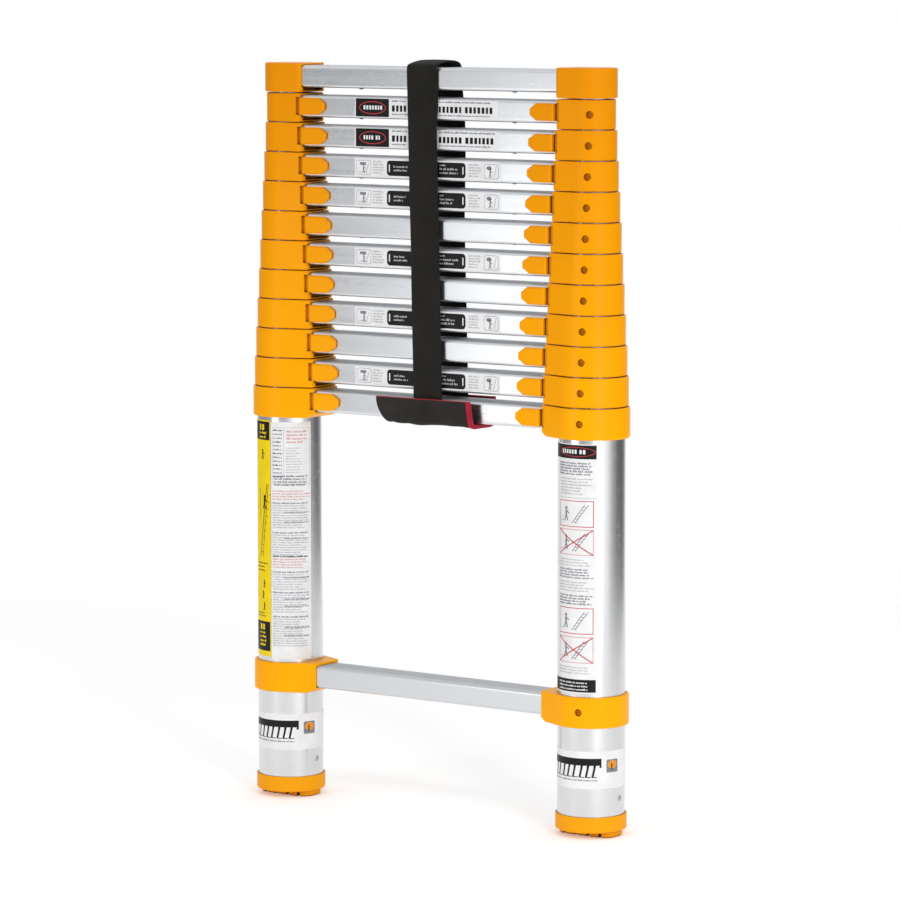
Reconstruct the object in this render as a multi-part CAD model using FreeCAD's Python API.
"""Telescoping ladder: twelve nested stile pairs, each with a rung, two thumb releases and clamp collars.

Millimetres. Z is up, X runs along the rungs, the thumb buttons face -Y. The origin is on the floor, midway
between the feet. The ladder is drawn closed, with its collars stacked on each other.
"""
import FreeCAD, Part
import math
import os

Vector = FreeCAD.Vector
ORIGIN = Vector(0, 0, 0)
X_AXIS = Vector(1, 0, 0)
Y_AXIS = Vector(0, 1, 0)
Z_AXIS = Vector(0, 0, 1)
LEFT = -1
RIGHT = 1
SIDES = (LEFT, RIGHT)

# Whole ladder
SECTIONS = 12
HALF_SPAN = 201.25
RUNG_SPACING = 305.0
STACK_PITCH = 32.4
TRAVEL = RUNG_SPACING - STACK_PITCH
FIRST_COLLAR_MID = 443.5
LOW_BRACKET_MID = 136.7

# Stile tubes
BASE_TUBE_R = 36.2
TUBE_WALL = 1.35
TUBE_GAP = 0.3
TUBE_LENGTH = 372.0
BASE_TUBE_LOW = 10.0

# Collars, low brackets and caps
COLLAR_WALL = 4.1
COLLAR_HEIGHT = 31.8
COLLAR_BORE_GAP = 0.1
BLOCK_REACH = 14.5
BLOCK_REACH_STEP = 0.13
BLOCK_HALF_DEPTH = 24.0
BLOCK_CORNER_R = 5.0
EDGE_ROUND = 1.5
LOW_EDGE_ROUND = 1.8
LIP_HEIGHT = 2.5
SKIRT = 1.3
UNDERCUT_RISE = 5.5
UNDERCUT_RUN = 10.0
NOTCH_DEPTH = 5.0
NOTCH_FLOOR_Y = -21.0
RELIEF_DEPTH = 8.0
RELIEF_HALF_WIDTH = 17.5
RELIEF_FLOOR = 1.8
CAP_R = 25.6
CAP_TOP = 816.2
CAP_LOW = 784.4
CAP_REACH = 33.4

# Rungs
RUNG_HEIGHT = 24.0
RUNG_DEPTH = 39.0
RUNG_WALL = 1.6
RUNG_CORNER_R = 3.5
RUNG_ABOVE_COLLAR_MID = 1.9
LOW_RUNG_ABOVE_BRACKET_MID = 0.8
RUNG_END_GAP = 4.6
POCKET_GAP = 0.1
GRIP_GROOVES = 7
GRIP_PITCH = 4.0
GRIP_WIDTH = 1.6
GRIP_DEPTH = 0.6

# Thumb releases
BUTTON_LENGTH = 32.3
BUTTON_HEIGHT = 18.6
BUTTON_FACE_Y = -26.5
BUTTON_SLOPE = 4.5
BUTTON_GAP = 0.2
BUTTON_NOSE = 9.0
BUTTON_NOSE_HALF = 3.4
BUTTON_NOSE_R = 2.0
BUTTON_START = 1.0
BUTTON_CHAMFER = 1.6
NOTCH_CLEAR = 0.4
STEM_LENGTH = 8.0
STEM_HEIGHT = 7.0
STEM_FROM_BLOCK = 9.0
SLOT_CLEAR = 1.0
RELEASE_TRAVEL = 6.0
CARRIAGE_LENGTH = 18.0
CARRIAGE_HALF_DEPTH = 6.0
CARRIAGE_HALF_HEIGHT = 6.0
CARRIAGE_FROM_BLOCK = 4.0
PIN_R = 3.7
PIN_CLEAR = 0.3
PIN_CHAMFER = 1.2
PIN_TIP_GAP = 0.45
LOCK_HOLE_R = 4.2

# Fasteners
RIVET_INSET = 100.0
RIVET_HEAD_R = 3.6
RIVET_HEAD_HEIGHT = 1.8
RIVET_SHANK_R = 2.0
RIVET_SHANK_GAP = 0.05
STOP_LENGTH = 9.0
STOP_GAP = 0.15
SCREW_OUTBOARD = 9.0
SCREW_RECESS_R = 4.0
SCREW_RECESS_DEPTH = 3.0
SCREW_HEAD_R = 3.4
SCREW_HEAD_HEIGHT = 1.0
SCREW_SHANK_R = 1.5
SCREW_HOLE_GAP = 0.1
SCREW_SOCKET_R = 1.5
SCREW_SOCKET_DEPTH = 0.8
FOOT_RIVET_Z = 42.0
FOOT_RIVET_R = 3.2
FOOT_RIVET_HEIGHT = 1.4
FOOT_RIVET_SHANK_R = 1.6

# End bushings in the sliding tubes
BUSHING_FLANGE = 4.0
BUSHING_SPIGOT = 18.0
BUSHING_WALL = 3.5
BUSHING_FIT = 0.15

# Feet
FOOT_R = 38.3
FOOT_TOP = 23.5
FOOT_RIM_LOW = 6.5
TREAD_HALF_LENGTH = 34.0
TREAD_HALF_DEPTH = 17.0
TREAD_CORNER_R = 12.0
TREAD_CHAMFER = 0.8
TREAD_GROOVE = 4.0
TREAD_GROOVE_DEPTH = 4.5
TREAD_GROOVE_PITCH = 15.0
TREAD_GROOVES = 4
FOOT_BORE_GAP = 0.1
FOOT_ROUND = 2.0

# Soft parts
PAD_LEFT = -60.0
PAD_RIGHT = 68.0
PAD_HALF_DEPTH = 31.5
PAD_THICK = 4.0
PAD_LOW = 428.6
PAD_FRONT_TOP = 457.4
PAD_REAR_TOP = 459.0
STRAP_LEFT = -22.6
STRAP_RIGHT = 14.9
STRAP_HALF_DEPTH = 25.5
STRAP_THICK = 2.0
STRAP_LOW = 436.0
STRAP_TOP = 821.6
STRAP_BEND_R = 8.0
STRAP_LEAN = 1.4


def tube_r(section):
    """Outside radius of a section's stile tubes."""
    return BASE_TUBE_R - (TUBE_WALL + TUBE_GAP) * (section - 1)


def collar_mid(section):
    """Mid height of a section's collars in the closed ladder."""
    return FIRST_COLLAR_MID + STACK_PITCH * (section - 1)


def rung_mid(section):
    """Mid height of a section's rung in the closed ladder."""
    return collar_mid(section) + RUNG_ABOVE_COLLAR_MID


def tube_top(section):
    """Upper end of a section's tubes, under the lip of their collars."""
    return collar_mid(section) + COLLAR_HEIGHT / 2 - LIP_HEIGHT


def tube_low(section):
    """Lower end of a section's tubes."""
    if section == 1:
        return BASE_TUBE_LOW
    return tube_top(section) - TUBE_LENGTH


def block_end(section):
    """Distance from the stile axis to the inboard end of a collar."""
    return tube_r(section) + BLOCK_REACH - BLOCK_REACH_STEP * (section - 1)


def rung_reach(section):
    """Distance from the stile axis to the end of the rung inside the collar."""
    return tube_r(section) + RUNG_END_GAP


def place(shape, side):
    """Carry a shape from a stile axis at the origin, inboard along +X, to the left or right stile."""
    placed = shape.copy()
    if side == RIGHT:
        placed = placed.mirror(ORIGIN, X_AXIS)
    placed.translate(Vector(side * HALF_SPAN, 0, 0))
    return placed


def box(x_range, y_range, z_range):
    """Box between the given limits."""
    corner = Vector(x_range[0], y_range[0], z_range[0])
    return Part.makeBox(x_range[1] - x_range[0], y_range[1] - y_range[0], z_range[1] - z_range[0], corner)


def cylinder(radius, length, start, axis=Z_AXIS):
    """Cylinder from a start point along an axis."""
    return Part.makeCylinder(radius, length, start, axis)


def level_edges(shape, z):
    """Edges of a shape that lie in one horizontal plane."""
    return [e for e in shape.Edges if abs(e.BoundBox.ZMin - z) < 0.001 and abs(e.BoundBox.ZMax - z) < 0.001]


def lengthwise_edges(shape, length):
    """Edges of a shape that run along X for the given length."""
    return [e for e in shape.Edges if abs(e.BoundBox.XLength - length) < 0.001 and e.BoundBox.YLength < 0.001]


def flip(point):
    """The point's mirror image from front to back."""
    return Vector(point.x, -point.y, point.z)


def clamp_outline(ring_r, reach):
    """Closed face of a ring's circle drawn out by tangents to a square inboard end with rounded corners."""
    half_depth = min(BLOCK_HALF_DEPTH, ring_r)
    corner_x = reach - BLOCK_CORNER_R
    corner_y = half_depth - BLOCK_CORNER_R
    span = math.hypot(corner_x, corner_y)
    turn = math.atan2(corner_y, corner_x) + math.acos((ring_r - BLOCK_CORNER_R) / span)
    normal = Vector(math.cos(turn), math.sin(turn), 0)
    bisector = Vector(math.cos(turn / 2), math.sin(turn / 2), 0)
    corner = Vector(corner_x, corner_y, 0)
    on_ring = normal * ring_r
    on_corner = corner + normal * BLOCK_CORNER_R
    mid_corner = corner + bisector * BLOCK_CORNER_R
    end = Vector(reach, corner_y, 0)
    edges = [
        Part.Arc(flip(on_ring), Vector(-ring_r, 0, 0), on_ring).toShape(),
        Part.makeLine(on_ring, on_corner),
        Part.Arc(on_corner, mid_corner, end).toShape(),
        Part.makeLine(end, flip(end)),
        Part.Arc(flip(end), flip(mid_corner), flip(on_corner)).toShape(),
        Part.makeLine(flip(on_corner), flip(on_ring)),
    ]
    return Part.Face(Part.Wire(edges))


def clamp_body(ring_r, reach, z_low, z_high, low_round):
    """Ring drawn out into an inboard block, rounded top and bottom, before any bore or pocket."""
    outline = clamp_outline(ring_r, reach)
    outline.translate(Vector(0, 0, z_low))
    body = outline.extrude(Vector(0, 0, z_high - z_low))
    body = body.makeFillet(EDGE_ROUND, level_edges(body, z_high))
    return body.makeFillet(low_round, level_edges(body, z_low))


def rung_pocket(section_reach, inner, z):
    """Space that the rung's end takes up in a collar, cap or bracket."""
    half_depth = RUNG_DEPTH / 2 + POCKET_GAP
    half_height = RUNG_HEIGHT / 2 + POCKET_GAP
    return box((inner, section_reach + 1), (-half_depth, half_depth), (z - half_height, z + half_height))


def relief(reach, z_low, rung_z):
    """Hollow under the rung in the inboard end of a collar, which leaves the wall an even thickness."""
    z_range = (z_low + RELIEF_FLOOR, rung_z - RUNG_HEIGHT / 2)
    return box((reach - RELIEF_DEPTH, reach + 1), (-RELIEF_HALF_WIDTH, RELIEF_HALF_WIDTH), z_range)


def screw_y(radius, offset):
    """Depth of a round surface at a given distance beside its axis."""
    return math.sqrt(radius ** 2 - offset ** 2)


def screw_shank_end(radius):
    """Depth of the screw's point, still inside the wall of the tube."""
    return screw_y(radius - TUBE_WALL, SCREW_OUTBOARD - SCREW_SHANK_R) + SCREW_HOLE_GAP


def screw_bore(radius, z, facing):
    """Stepped hole for a collar's screw; facing is -1 for the front and +1 for the back."""
    face = screw_y(radius + COLLAR_WALL, SCREW_OUTBOARD)
    seat = face - SCREW_RECESS_DEPTH
    recess = cylinder(SCREW_RECESS_R, COLLAR_WALL, Vector(-SCREW_OUTBOARD, facing * seat, z), Y_AXIS * facing)
    start = screw_shank_end(radius)
    length = seat - start + SCREW_HOLE_GAP
    shank_r = SCREW_SHANK_R + SCREW_HOLE_GAP
    return recess.fuse(cylinder(shank_r, length, Vector(-SCREW_OUTBOARD, facing * start, z), Y_AXIS * facing))


def clamp_screw(radius, z, facing):
    """Screw that holds a collar on its tube, with a six-sided socket in its head."""
    face = screw_y(radius + COLLAR_WALL, SCREW_OUTBOARD)
    seat = face - SCREW_RECESS_DEPTH
    start = screw_shank_end(radius)
    axis = Y_AXIS * facing
    shank = cylinder(SCREW_SHANK_R, seat - start, Vector(-SCREW_OUTBOARD, facing * start, z), axis)
    head = cylinder(SCREW_HEAD_R, SCREW_HEAD_HEIGHT, Vector(-SCREW_OUTBOARD, facing * seat, z), axis)
    top = facing * (seat + SCREW_HEAD_HEIGHT - SCREW_SOCKET_DEPTH)
    corners = []
    for i in range(7):
        turn = math.radians(60 * i)
        across = SCREW_SOCKET_R * math.cos(turn)
        corners.append(Vector(-SCREW_OUTBOARD + across, top, z + SCREW_SOCKET_R * math.sin(turn)))
    socket = Part.Face(Part.makePolygon(corners)).extrude(axis * SCREW_HEAD_HEIGHT)
    return shank.fuse(head).removeSplitter().cut(socket)


def screw_facing(side):
    """The screws show at the front of the right stile and at the back of the left one."""
    return -side


def collar(section, side):
    """Stack collar: bore and lip for its tube, pocket for the rung, notch for the button and pin hole."""
    radius = tube_r(section)
    mid = collar_mid(section)
    z_low = mid - COLLAR_HEIGHT / 2
    z_high = mid + COLLAR_HEIGHT / 2
    reach = block_end(section)
    rung_z = rung_mid(section)
    if section == 1:
        z_low -= SKIRT
        body = clamp_body(radius + COLLAR_WALL, reach, z_low, z_high, LOW_EDGE_ROUND)
        body = body.cut(undercut(reach, z_low))
    else:
        body = clamp_body(radius + COLLAR_WALL, reach, z_low, z_high, EDGE_ROUND)
    bore_height = z_high - LIP_HEIGHT - z_low
    body = body.cut(cylinder(radius + COLLAR_BORE_GAP, bore_height + 1, Vector(0, 0, z_low - 1)))
    body = body.cut(cylinder(tube_r(section + 1) + TUBE_GAP, COLLAR_HEIGHT, Vector(0, 0, mid)))
    body = body.cut(rung_pocket(reach, rung_reach(section), rung_z))
    if section > 1:
        body = body.cut(relief(reach, z_low, rung_z))
    notch_half = BUTTON_HEIGHT / 2 + NOTCH_CLEAR
    notch_y = (-radius - COLLAR_WALL, NOTCH_FLOOR_Y)
    notch_z = (rung_z - notch_half, rung_z + notch_half)
    body = body.cut(box((reach - NOTCH_DEPTH, reach + 1), notch_y, notch_z))
    body = body.cut(cylinder(PIN_R + PIN_CLEAR, reach, Vector(0, 0, rung_z), X_AXIS))
    return body.cut(screw_bore(radius, mid, screw_facing(side)))


def undercut(reach, z_low):
    """Wedge taken off below the block of a collar that has nothing under it."""
    points = [Vector(reach - UNDERCUT_RUN, 0, z_low), Vector(reach + 1, 0, z_low + UNDERCUT_RISE)]
    points += [Vector(reach + 1, 0, z_low - 1), Vector(reach - UNDERCUT_RUN, 0, z_low - 1), points[0]]
    wedge = Part.Face(Part.makePolygon(points))
    wedge.translate(Vector(0, -BASE_TUBE_R - COLLAR_WALL, 0))
    return wedge.extrude(Y_AXIS * 2 * (BASE_TUBE_R + COLLAR_WALL))


def low_bracket(side):
    """Bracket that carries the low rung on the base tube."""
    z_low = LOW_BRACKET_MID - COLLAR_HEIGHT / 2 - SKIRT
    z_high = LOW_BRACKET_MID + COLLAR_HEIGHT / 2
    reach = block_end(1)
    body = clamp_body(BASE_TUBE_R + COLLAR_WALL, reach, z_low, z_high, LOW_EDGE_ROUND)
    body = body.cut(undercut(reach, z_low))
    body = body.cut(cylinder(BASE_TUBE_R + COLLAR_BORE_GAP, z_high - z_low + 2, Vector(0, 0, z_low - 1)))
    body = body.cut(rung_pocket(reach, rung_reach(1), LOW_BRACKET_MID + LOW_RUNG_ABOVE_BRACKET_MID))
    return body.cut(screw_bore(BASE_TUBE_R, LOW_BRACKET_MID, screw_facing(side)))


def cap():
    """Top cap that closes the last tube and holds the top rung."""
    radius = tube_r(SECTIONS)
    body = clamp_body(CAP_R, CAP_REACH, CAP_LOW, CAP_TOP, EDGE_ROUND)
    top = tube_top(SECTIONS)
    body = body.cut(cylinder(radius + COLLAR_BORE_GAP, top - CAP_LOW + 1, Vector(0, 0, CAP_LOW - 1)))
    body = body.cut(relief(CAP_REACH, CAP_LOW, rung_mid(SECTIONS)))
    return body.cut(rung_pocket(CAP_REACH, rung_reach(SECTIONS), rung_mid(SECTIONS)))


def stile_tube(section, side):
    """One stile tube with its lock-pin holes facing inboard and its screw hole."""
    outer = tube_r(section)
    low = tube_low(section)
    height = tube_top(section) - low
    tube = cylinder(outer, height, Vector(0, 0, low))
    tube = tube.cut(cylinder(outer - TUBE_WALL, height + 2, Vector(0, 0, low - 1)))
    if section < SECTIONS:
        tube = tube.cut(cylinder(LOCK_HOLE_R, outer + 1, Vector(0, 0, rung_mid(section)), X_AXIS))
        tube = tube.cut(screw_bore(outer, collar_mid(section), screw_facing(side)))
    if section > 1:
        lock_z = rung_mid(section - 1) - TRAVEL
        tube = tube.cut(cylinder(LOCK_HOLE_R, outer + 1, Vector(0, 0, lock_z), X_AXIS))
    else:
        tube = tube.cut(screw_bore(outer, LOW_BRACKET_MID, screw_facing(side)))
        foot_hole_r = FOOT_RIVET_SHANK_R + SCREW_HOLE_GAP
        tube = tube.cut(cylinder(foot_hole_r, 2 * outer + 2, Vector(-outer - 1, 0, FOOT_RIVET_Z), X_AXIS))
    return tube


def bushing(section):
    """Flanged bushing in the lower end of a sliding tube."""
    outer = tube_r(section)
    spigot_r = outer - TUBE_WALL - BUSHING_FIT
    low = tube_low(section) - BUSHING_FLANGE
    flange = cylinder(outer, BUSHING_FLANGE, Vector(0, 0, low))
    spigot = cylinder(spigot_r, BUSHING_FLANGE + BUSHING_SPIGOT, Vector(0, 0, low))
    bore = cylinder(spigot_r - BUSHING_WALL, BUSHING_FLANGE + BUSHING_SPIGOT + 2, Vector(0, 0, low - 1))
    return flange.fuse(spigot).cut(bore)


def rung_tube(reach, z, slot_reach=None):
    """Hollow rung with rounded edges and a ribbed tread, slotted for the buttons' stems if it has any."""
    half_length = HALF_SPAN - reach
    half_depth = RUNG_DEPTH / 2
    half_height = RUNG_HEIGHT / 2
    x_range = (-half_length, half_length)
    outer = box(x_range, (-half_depth, half_depth), (z - half_height, z + half_height))
    outer = outer.makeFillet(RUNG_CORNER_R, lengthwise_edges(outer, 2 * half_length))
    inner_y = (-half_depth + RUNG_WALL, half_depth - RUNG_WALL)
    inner_z = (z - half_height + RUNG_WALL, z + half_height - RUNG_WALL)
    inner = box((-half_length - 1, half_length + 1), inner_y, inner_z)
    inner = inner.makeFillet(RUNG_CORNER_R - RUNG_WALL, lengthwise_edges(inner, 2 * half_length + 2))
    rung = outer.cut(inner)
    for i in range(GRIP_GROOVES):
        y = (i - (GRIP_GROOVES - 1) / 2) * GRIP_PITCH
        y_range = (y - GRIP_WIDTH / 2, y + GRIP_WIDTH / 2)
        top = z + half_height
        rung = rung.cut(box((x_range[0] - 1, x_range[1] + 1), y_range, (top - GRIP_DEPTH, top + 1)))
    for side in SIDES:
        inset = side * (HALF_SPAN - RIVET_INSET)
        rung = rung.cut(cylinder(RIVET_SHANK_R, RUNG_WALL + 2, Vector(inset, 0, z - half_height - 1)))
        if slot_reach is not None:
            rung = rung.cut(place(stem_slot(slot_reach, z), side))
    return rung


def stem_slot(reach, z):
    """Slot in the front wall of a rung, long enough for a button's stem over its travel."""
    start = reach + STEM_FROM_BLOCK - SLOT_CLEAR
    end = reach + STEM_FROM_BLOCK + STEM_LENGTH + RELEASE_TRAVEL + SLOT_CLEAR
    half = STEM_HEIGHT / 2 + SLOT_CLEAR / 2
    return box((start, end), (-RUNG_DEPTH / 2 - 1, -RUNG_DEPTH / 2 + RUNG_WALL + 1), (z - half, z + half))


def rung_rivet(side, z):
    """Domed rivet under a rung with the stop block that it holds inside, as one headed fastener and block."""
    x = side * (HALF_SPAN - RIVET_INSET)
    under = z - RUNG_HEIGHT / 2
    head = dome(RIVET_HEAD_R, RIVET_HEAD_HEIGHT)
    head.rotate(ORIGIN, X_AXIS, 180)
    head.translate(Vector(x, 0, under))
    shank = cylinder(RIVET_SHANK_R - RIVET_SHANK_GAP, RUNG_WALL, Vector(x, 0, under))
    half_depth = RUNG_DEPTH / 2 - RUNG_WALL - STOP_GAP
    half_length = STOP_LENGTH / 2
    low = under + RUNG_WALL
    top = z + RUNG_HEIGHT / 2 - RUNG_WALL - STOP_GAP
    stop = box((x - half_length, x + half_length), (-half_depth, half_depth), (low, top))
    corners = lengthwise_edges(stop, STOP_LENGTH)
    stop = stop.makeFillet(RUNG_CORNER_R - RUNG_WALL, corners)
    return head.fuse(shank).fuse(stop).removeSplitter()


def dome(radius, height):
    """Shallow spherical cap standing on Z = 0."""
    ball_r = (radius ** 2 + height ** 2) / (2 * height)
    ball = Part.makeSphere(ball_r, Vector(0, 0, height - ball_r))
    return ball.common(cylinder(radius, height, ORIGIN))


def foot_rivet():
    """Rivet above the foot, on the face of a base tube along +X."""
    head = dome(FOOT_RIVET_R, FOOT_RIVET_HEIGHT)
    depth = BASE_TUBE_R - math.sqrt(BASE_TUBE_R ** 2 - FOOT_RIVET_R ** 2)
    rim = cylinder(FOOT_RIVET_R, depth, Vector(0, 0, -depth))
    shank = cylinder(FOOT_RIVET_SHANK_R, TUBE_WALL, Vector(0, 0, -TUBE_WALL))
    rivet = head.fuse(rim)
    rivet.rotate(ORIGIN, Y_AXIS, 90)
    rivet.translate(Vector(BASE_TUBE_R, 0, FOOT_RIVET_Z))
    rivet = rivet.cut(cylinder(BASE_TUBE_R, 20, Vector(0, 0, FOOT_RIVET_Z - 10)))
    shank.rotate(ORIGIN, Y_AXIS, 90)
    shank.translate(Vector(BASE_TUBE_R, 0, FOOT_RIVET_Z))
    clearance = cylinder(BASE_TUBE_R - TUBE_WALL, 20, Vector(0, 0, FOOT_RIVET_Z - 10))
    return rivet.fuse(shank.cut(clearance)).removeSplitter()


def thumb_button(start, z):
    """Button with a pointed inboard nose, whose face slopes back towards the nose."""
    end = start + BUTTON_LENGTH
    half = BUTTON_HEIGHT / 2
    nose = end - BUTTON_NOSE
    outline = [(start, -half), (nose, -half), (end, -BUTTON_NOSE_HALF), (end, BUTTON_NOSE_HALF)]
    outline += [(nose, half), (start, half), (start, -half)]
    face = Part.Face(Part.makePolygon([Vector(x, BUTTON_FACE_Y, z + dz) for x, dz in outline]))
    button = face.extrude(Y_AXIS * -BUTTON_FACE_Y)
    nose_edges = [e for e in button.Edges if e.BoundBox.YLength > BUTTON_GAP and e.BoundBox.XMin > nose - 0.001]
    button = button.makeFillet(BUTTON_NOSE_R, nose_edges)
    rim = [e for e in button.Edges if e.BoundBox.YMax < BUTTON_FACE_Y + 0.001]
    button = button.makeChamfer(BUTTON_CHAMFER, rim)
    button.rotate(Vector(start, BUTTON_FACE_Y, z), Z_AXIS, BUTTON_SLOPE)
    back = -RUNG_DEPTH / 2 - BUTTON_GAP
    room = box((start, end + 1), (BUTTON_FACE_Y - BUTTON_CHAMFER, back), (z - half - 1, z + half + 1))
    return button.common(room)


def release(section):
    """Thumb button, stem, carriage and lock pin, which slide as one along the rung."""
    reach = block_end(section)
    z = rung_mid(section)
    button = thumb_button(reach + BUTTON_START, z)
    stem_start = reach + STEM_FROM_BLOCK
    stem_y = (-RUNG_DEPTH / 2 - BUTTON_GAP, -CARRIAGE_HALF_DEPTH)
    stem = box((stem_start, stem_start + STEM_LENGTH), stem_y, (z - STEM_HEIGHT / 2, z + STEM_HEIGHT / 2))
    carriage_x = (reach + CARRIAGE_FROM_BLOCK, reach + CARRIAGE_FROM_BLOCK + CARRIAGE_LENGTH)
    carriage_z = (z - CARRIAGE_HALF_HEIGHT, z + CARRIAGE_HALF_HEIGHT)
    carriage = box(carriage_x, (-CARRIAGE_HALF_DEPTH, CARRIAGE_HALF_DEPTH), carriage_z)
    thumb = button.fuse(stem).fuse(carriage).removeSplitter()
    tip = tube_r(section + 1) + PIN_TIP_GAP
    pin = cylinder(PIN_R, carriage_x[0] - tip, Vector(tip, 0, z), X_AXIS)
    tip_edge = [e for e in pin.Edges if e.BoundBox.XMax < tip + 0.001]
    pin = pin.makeChamfer(PIN_CHAMFER, tip_edge)
    return [thumb, pin]


def foot():
    """Foot that the base tube stands in, with a grooved tread."""
    cup = cylinder(FOOT_R, FOOT_TOP - FOOT_RIM_LOW, Vector(0, 0, FOOT_RIM_LOW))
    cup = cup.makeFillet(FOOT_ROUND, level_edges(cup, FOOT_RIM_LOW))
    x_range = (-TREAD_HALF_LENGTH, TREAD_HALF_LENGTH)
    tread = box(x_range, (-TREAD_HALF_DEPTH, TREAD_HALF_DEPTH), (0, BASE_TUBE_LOW - FOOT_BORE_GAP))
    uprights = [e for e in tread.Edges if e.BoundBox.ZLength > BASE_TUBE_LOW / 2]
    tread = tread.makeFillet(TREAD_CORNER_R, uprights)
    tread = tread.makeChamfer(TREAD_CHAMFER, level_edges(tread, 0))
    body = cup.fuse(tread).removeSplitter()
    body = body.cut(cylinder(BASE_TUBE_R + FOOT_BORE_GAP, FOOT_TOP, Vector(0, 0, BASE_TUBE_LOW)))
    for number in range(TREAD_GROOVES):
        x = (number - (TREAD_GROOVES - 1) / 2) * TREAD_GROOVE_PITCH
        x_range = (x - TREAD_GROOVE / 2, x + TREAD_GROOVE / 2)
        body = body.cut(box(x_range, (-FOOT_R, FOOT_R), (-1, TREAD_GROOVE_DEPTH)))
    return body


def handle_pad():
    """Folded pad that wraps under the lowest stack rung, open at the top."""
    x_range = (PAD_LEFT, PAD_RIGHT)
    inner = PAD_HALF_DEPTH - PAD_THICK
    front = box(x_range, (-PAD_HALF_DEPTH, -inner), (PAD_LOW, PAD_FRONT_TOP))
    under = box(x_range, (-PAD_HALF_DEPTH, PAD_HALF_DEPTH), (PAD_LOW, PAD_LOW + PAD_THICK))
    rear = box(x_range, (inner, PAD_HALF_DEPTH), (PAD_LOW, PAD_REAR_TOP))
    return front.fuse(under).fuse(rear).removeSplitter()


def strap_outline(half_depth, top, bend_r):
    """Closed face of an upright loop shape, square at the bottom and rounded at the top."""
    shape = box((STRAP_LEFT, STRAP_RIGHT), (-half_depth, half_depth), (STRAP_LOW, top))
    bends = [e for e in level_edges(shape, top) if e.BoundBox.YLength < 0.001]
    return shape.makeFillet(bend_r, bends)


def carry_strap():
    """Webbing that hangs over the top rung, front and back, leaning a little to the right."""
    outer = strap_outline(STRAP_HALF_DEPTH, STRAP_TOP, STRAP_BEND_R)
    inner = strap_outline(STRAP_HALF_DEPTH - STRAP_THICK, STRAP_TOP - STRAP_THICK, STRAP_BEND_R - STRAP_THICK)
    strap = outer.cut(inner)
    strap.rotate(Vector((STRAP_LEFT + STRAP_RIGHT) / 2, 0, STRAP_TOP), Y_AXIS, -STRAP_LEAN)
    return strap


def pair(build):
    """The left and right copies of a part that is the same on both stiles."""
    return [place(build, side) for side in SIDES]


def export(name, solids):
    """Write one node, after checking that each solid in it is closed and valid."""
    shape = Part.makeCompound(solids) if len(solids) > 1 else solids[0]
    for solid in solids:
        if not solid.isValid() or len(solid.Solids) != 1 or solid.Volume <= 0:
            raise ValueError(name + " has a bad solid")
    shape.exportStep("parts/" + name + ".step")


def rung_fasteners(section, z):
    """Rivets under a rung and the screws of the collars beside it."""
    parts = [rung_rivet(side, z) for side in SIDES]
    if section < SECTIONS:
        for side in SIDES:
            parts.append(place(clamp_screw(tube_r(section), collar_mid(section), screw_facing(side)), side))
    return parts


def build_base():
    """Section that stands on the floor."""
    low_z = LOW_BRACKET_MID + LOW_RUNG_ABOVE_BRACKET_MID
    export("base_tubes", [place(stile_tube(1, side), side) for side in SIDES])
    brackets = [place(low_bracket(side), side) for side in SIDES]
    export("base_collars", [place(collar(1, side), side) for side in SIDES] + brackets)
    rungs = [rung_tube(rung_reach(1), rung_mid(1), block_end(1)), rung_tube(rung_reach(1), low_z)]
    fasteners = rung_fasteners(1, rung_mid(1)) + [rung_rivet(side, low_z) for side in SIDES]
    for side in SIDES:
        fasteners.append(place(clamp_screw(BASE_TUBE_R, LOW_BRACKET_MID, screw_facing(side)), side))
    rivet = foot_rivet()
    foot_rivets = pair(rivet) + pair(rivet.mirror(ORIGIN, X_AXIS))
    export("base_rungs", rungs + fasteners + foot_rivets)
    export("feet", pair(foot()))
    export("handle_pad", [handle_pad()])


def build_sliding_section(section):
    """One of the sections between the base and the top."""
    z = rung_mid(section)
    tag = "_%02d" % section
    export("tubes" + tag, [place(stile_tube(section, side), side) for side in SIDES])
    collars = [place(collar(section, side), side) for side in SIDES]
    export("collars" + tag, collars + pair(bushing(section)))
    rung = rung_tube(rung_reach(section), z, block_end(section))
    export("rung" + tag, [rung] + rung_fasteners(section, z))


def build_top():
    """Top section, whose rung has no releases."""
    z = rung_mid(SECTIONS)
    tubes = [place(stile_tube(SECTIONS, side), side) for side in SIDES]
    export("top_frame", tubes + [rung_tube(rung_reach(SECTIONS), z)] + rung_fasteners(SECTIONS, z))
    export("top_caps", pair(cap()) + pair(bushing(SECTIONS)))
    export("carry_strap", [carry_strap()])


def build_releases():
    """Two thumb releases on every stack rung below the top one."""
    for section in range(1, SECTIONS):
        for side, name in ((LEFT, "left"), (RIGHT, "right")):
            export("release_%s_%02d" % (name, section), [place(part, side) for part in release(section)])


os.makedirs("parts", exist_ok=True)
build_base()
for number in range(2, SECTIONS):
    build_sliding_section(number)
build_top()
build_releases()
